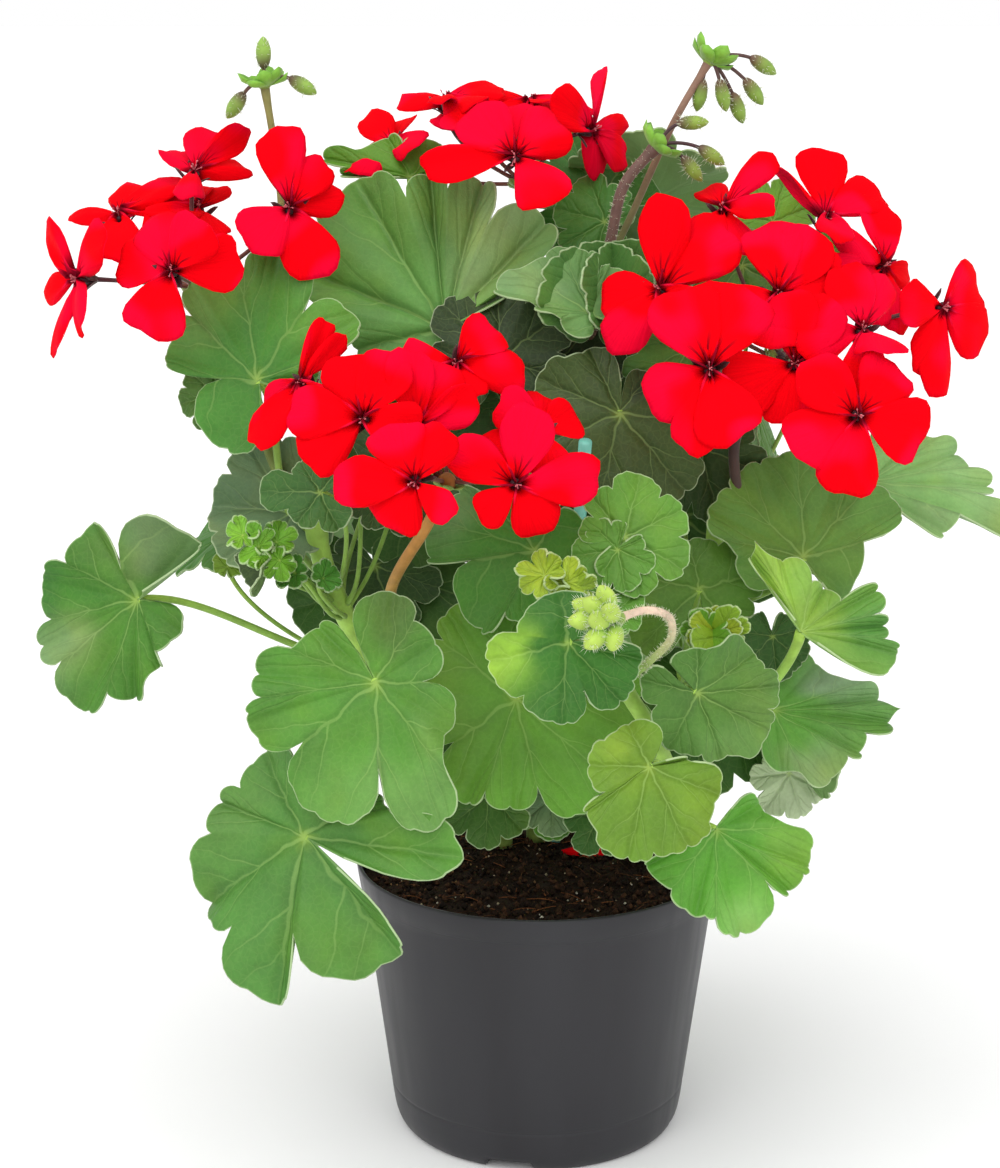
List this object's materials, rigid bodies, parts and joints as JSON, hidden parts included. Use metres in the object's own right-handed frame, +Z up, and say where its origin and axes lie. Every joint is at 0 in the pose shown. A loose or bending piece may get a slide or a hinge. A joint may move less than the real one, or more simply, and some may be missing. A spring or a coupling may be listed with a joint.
{
  "type": "potted pelargonium",
  "caption": "Bushy red-flowered pelargonium with round scalloped leaves, growing in soil in a plain dark grey round nursery pot that stands on its foot ring.",
  "frame": {"origin": "centre of the pot's foot, on the surface that it stands on", "axes": "+Z up the plant, -Y towards the front of the plant, +X to its right seen from the front"},
  "size_m": [0.3127, 0.2721, 0.3555],
  "materials": {
    "pot": "satin",
    "soil": "matte",
    "stem": "matte",
    "leaf": "matte",
    "flower_stalk": "matte",
    "petal": "matte",
    "bud": "matte"
  },
  "bodies": {
    "root": {"bud_cluster_front": "bud", "bud_cluster_left": "bud", "bud_cluster_middle": "bud", "bud_cluster_right": "bud", "floret_center_1": "petal", "floret_center_2": "petal", "floret_center_3": "petal", "floret_center_4": "petal", "floret_center_5": "petal", "floret_left_1": "petal", "floret_left_2": "petal", "floret_left_3": "petal", "floret_left_4": "petal", "floret_left_5": "petal", "floret_right_1": "petal", "floret_right_2": "petal", "floret_right_3": "petal", "floret_right_4": "petal", "floret_right_5": "petal", "floret_top_1": "petal", "floret_top_2": "petal", "floret_top_3": "petal", "flower_stalk_center": "flower_stalk", "flower_stalk_left": "flower_stalk", "flower_stalk_right": "flower_stalk", "flower_stalk_top": "flower_stalk", "leaf_back": "leaf", "leaf_back_left": "leaf", "leaf_back_low_left": "leaf", "leaf_back_low_right": "leaf", "leaf_back_right": "leaf", "leaf_far_left": "leaf", "leaf_far_right": "leaf", "leaf_front_center": "leaf", "leaf_front_left": "leaf", "leaf_front_light": "leaf", "leaf_front_right": "leaf", "leaf_front_small": "leaf", "leaf_high_left": "leaf", "leaf_inner_center": "leaf", "leaf_inner_left": "leaf", "leaf_inner_right": "leaf", "leaf_low_center": "leaf", "leaf_low_left": "leaf", "leaf_low_right": "leaf", "leaf_right": "leaf", "leaf_right_high": "leaf", "leaf_right_under": "leaf", "leaf_right_upright": "leaf", "leaf_side_left": "leaf", "leaf_top_back": "leaf", "leaf_top_center": "leaf", "leaf_top_left": "leaf", "leaf_top_small": "leaf", "pot": "pot", "soil": "soil", "stem_center": "stem", "stem_front": "stem", "stem_left": "stem", "stem_right": "stem"}
  },
  "joints": []
}
